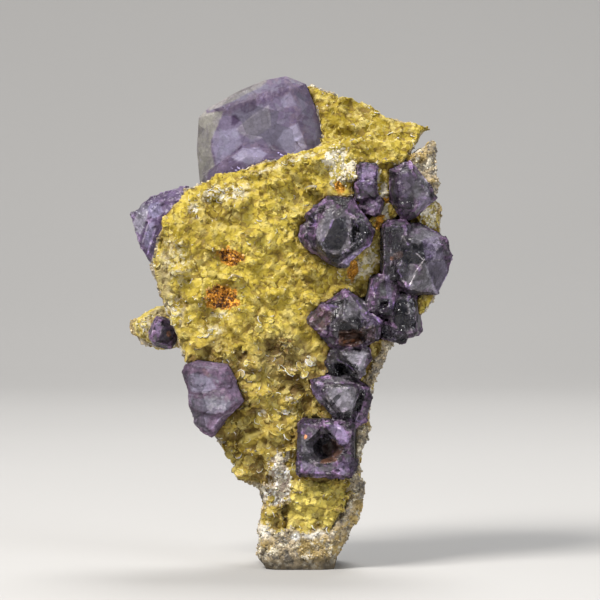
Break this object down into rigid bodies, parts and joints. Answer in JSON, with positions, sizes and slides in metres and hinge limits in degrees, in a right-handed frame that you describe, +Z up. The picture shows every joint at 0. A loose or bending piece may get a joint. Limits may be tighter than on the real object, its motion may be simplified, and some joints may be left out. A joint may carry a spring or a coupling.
{
  "type": "fluorite specimen",
  "caption": "Hand specimen of purple fluorite cubes grown on a plate of rock crusted with yellow mica, standing upright on its flat cut foot.",
  "frame": {"origin": "middle of the flat cut foot", "axes": "+Z up the specimen as it stands, -Y out of its mica front, +X to the right seen from the front"},
  "size_m": [0.0647, 0.031, 0.0994],
  "materials": {
    "mica_rock": "rough",
    "pale_fluorite": "satin",
    "dark_fluorite": "gloss"
  },
  "bodies": {
    "root": {"matrix": "mica_rock", "top_crystal": "pale_fluorite", "left_back_crystal": "pale_fluorite", "left_front_crystal": "pale_fluorite", "left_small_crystal": "dark_fluorite", "upper_small_crystals": "dark_fluorite", "round_crystal": "dark_fluorite", "right_cluster": "dark_fluorite", "lower_chain": "dark_fluorite"}
  },
  "joints": []
}
